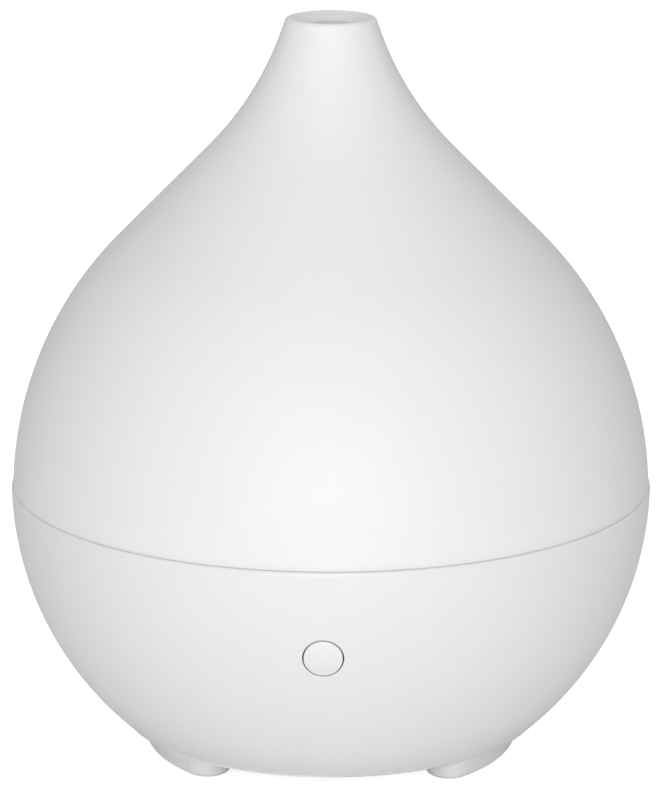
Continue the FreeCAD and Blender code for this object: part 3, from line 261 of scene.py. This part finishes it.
def capacitor_sleeve():
    """Dark shrink sleeve with faint upright shading."""
    made = Finish("capacitor_sleeve", (0.03, 0.045, 0.11), 0.3, coat_weight=0.2)
    made.blend(made.noise(6 * MM, stretch=(1, 1, 8)), 0.45, 0.6, (0.05, 0.07, 0.16), made.colour)
    made.sheen(2 * MM, 0.25, 0.38)
    return made.relief(made.noise(0.5 * MM), 0.01 * MM, 0.4)


UPRIGHT, LENGTHWISE = (1, 1, 8), (1, 8, 1)
FINISHES = (
    frosted_cover(),
    glossy_shell("white_shell", (0.86, 0.86, 0.86), 0.33),
    glossy_shell("button_white", (0.88, 0.88, 0.88), 0.3),
    tank_plastic(),
    moulded("white_plastic", (0.85, 0.85, 0.845), 0.42),
    rubber("silicone", (0.74, 0.75, 0.75), 0.5),
    rubber("pad_rubber", (0.4, 0.4, 0.41), 0.7),
    metal("screw_steel", (0.56, 0.56, 0.57), 0.3),
    metal("shaft_steel", (0.6, 0.6, 0.61), 0.18, UPRIGHT),
    metal("nut_steel", (0.62, 0.61, 0.58), 0.28, LENGTHWISE),
    stamped_disc(),
    ceramic(),
    circuit_board(),
    light_chip(),
    moulded("black_plastic", (0.022, 0.022, 0.024), 0.42, 0.3 * MM),
    metal("bronze", (0.5, 0.34, 0.19), 0.45),
    copper_coil(),
    moulded("ferrite", (0.06, 0.06, 0.065), 0.62, 0.2 * MM),
    capacitor_sleeve(),
    metal("heat_sink_aluminium", (0.72, 0.73, 0.75), 0.38, UPRIGHT),
    moulded("plug_plastic", (0.78, 0.75, 0.66), 0.45),
    metal("pin_brass", (0.76, 0.6, 0.3), 0.22, LENGTHWISE),
)
MATERIALS = {made.name: made.material for made in FINISHES}


def dress_nodes():
    for name, node in nodes.items():
        for slot in node.material_slots:
            slot.material = MATERIALS[SLOT_OF[name]]


# ---- small parts with broken edges -------------------------------------------------------

def add_object(name, mesh):
    made = bpy.data.objects.new(name, mesh)
    bpy.context.collection.objects.link(made)
    return made


def take_over(piece, node):
    """The piece stands for a CAD node: same body, same finish."""
    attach(piece, BODY_OF[node])
    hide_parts(node)
    piece.data.materials.clear()
    piece.data.materials.append(MATERIALS[SLOT_OF[node]])


def soften(node, width):
    """A copy of a CAD node whose sharp edges are rounded off."""
    shape = bmesh.new()
    shape.from_mesh(nodes[node].data)
    bmesh.ops.remove_doubles(shape, verts=shape.verts, dist=WELD)
    bmesh.ops.dissolve_limit(shape, angle_limit=FLAT_WITHIN, verts=shape.verts,
                             edges=shape.edges)
    corners = [edge for edge in shape.edges
               if len(edge.link_faces) == 2 and edge.calc_face_angle(0) > CORNER_FROM]
    bmesh.ops.bevel(shape, geom=corners, offset=width, segments=BEVEL_STEPS, profile=0.5,
                    affect="EDGES", clamp_overlap=True)
    bmesh.ops.triangulate(shape, faces=[face for face in shape.faces if len(face.verts) > 4])
    for face in shape.faces:
        face.smooth = True
    for edge in shape.edges:
        edge.smooth = edge.calc_face_angle(0) < SMOOTH_BELOW
    mesh = bpy.data.meshes.new(node + "_soft")
    shape.to_mesh(mesh)
    shape.free()
    take_over(add_object(node + "_soft", mesh), node)


SOFT_NODES = {
    "button_cap": 0.12 * MM, "power_inlet": 0.2 * MM, "inlet_nut": 0.15 * MM,
    "air_cap": 0.25 * MM, "foot_pads": 0.15 * MM, "heat_sink": 0.12 * MM,
    "board_plugs": 0.15 * MM, "switch_body": 0.12 * MM, "control_chip": 0.1 * MM,
    "power_transistor": 0.12 * MM, "board_capacitors": 0.3 * MM, "fan_hood": 0.2 * MM,
}


# ---- table, lights and camera ------------------------------------------------------------

def make_table():
    """A pale disc. Its own glow falls on the table alone, not on the object."""
    shape = bmesh.new()
    bmesh.ops.create_circle(shape, cap_ends=True, segments=96, radius=TABLE_RADIUS)
    mesh = bpy.data.meshes.new("table")
    shape.to_mesh(mesh)
    shape.free()
    table = Finish("pale_table", (0.9, 0.9, 0.9), 0.9, emission_strength=TABLE_GLOW)
    table.set("Emission Color", WHITE)
    table.mottle(400 * MM, 0.995)
    mesh.materials.append(table.material)
    made = add_object("table", mesh)
    lit = bpy.data.collections.new("lit_by_table")
    lit.objects.link(made)
    made.light_linking.receiver_collection = lit


def make_light(name, bearing, height_angle, power):
    """A square soft box that faces the object; its bearing counts from the front."""
    lamp = bpy.data.lights.new(name, "AREA")
    lamp.shape = "SQUARE"
    lamp.size = LAMP_SIZE
    lamp.energy = power
    turn, rise = radians(bearing), radians(height_angle)
    away = Vector((sin(turn) * cos(rise), -cos(turn) * cos(rise), sin(rise)))
    made = add_object(name, lamp)
    made.location = Vector((0, 0, SEAM_HEIGHT)) + away * LAMP_REACH
    made.rotation_euler = away.to_track_quat("Z", "Y").to_euler()


def make_camera():
    """Twelve bowl radii away, a little to the right, looking down on the seam."""
    lens = bpy.data.cameras.new("camera")
    lens.sensor_width = SENSOR_WIDTH
    lens.lens = FOCAL_LENGTH
    lens.shift_x = SIDE_SHIFT
    made = add_object("camera", lens)
    made.location = (CAMERA_REACH * sin(CAMERA_BEARING), -CAMERA_REACH * cos(CAMERA_BEARING),
                     SEAM_HEIGHT + CAMERA_RISE)
    made.rotation_euler = (radians(90) - CAMERA_DIP, 0, CAMERA_BEARING)
    bpy.context.scene.camera = made


def make_studio():
    world = bpy.data.worlds.new("studio")
    world.use_nodes = True
    sky = world.node_tree.nodes["Background"]
    sky.inputs["Color"].default_value = WHITE
    sky.inputs["Strength"].default_value = WORLD_STRENGTH
    bpy.context.scene.world = world
    bpy.context.scene.view_settings.view_transform = "Standard"
    make_table()
    make_light("front", 0, 8, 13.5)
    make_light("front_high", 0, 55, 2.5)
    make_light("back", 180, 50, 2)
    make_camera()


dress_nodes()
for node, width in SOFT_NODES.items():
    soften(node, width)
make_studio()
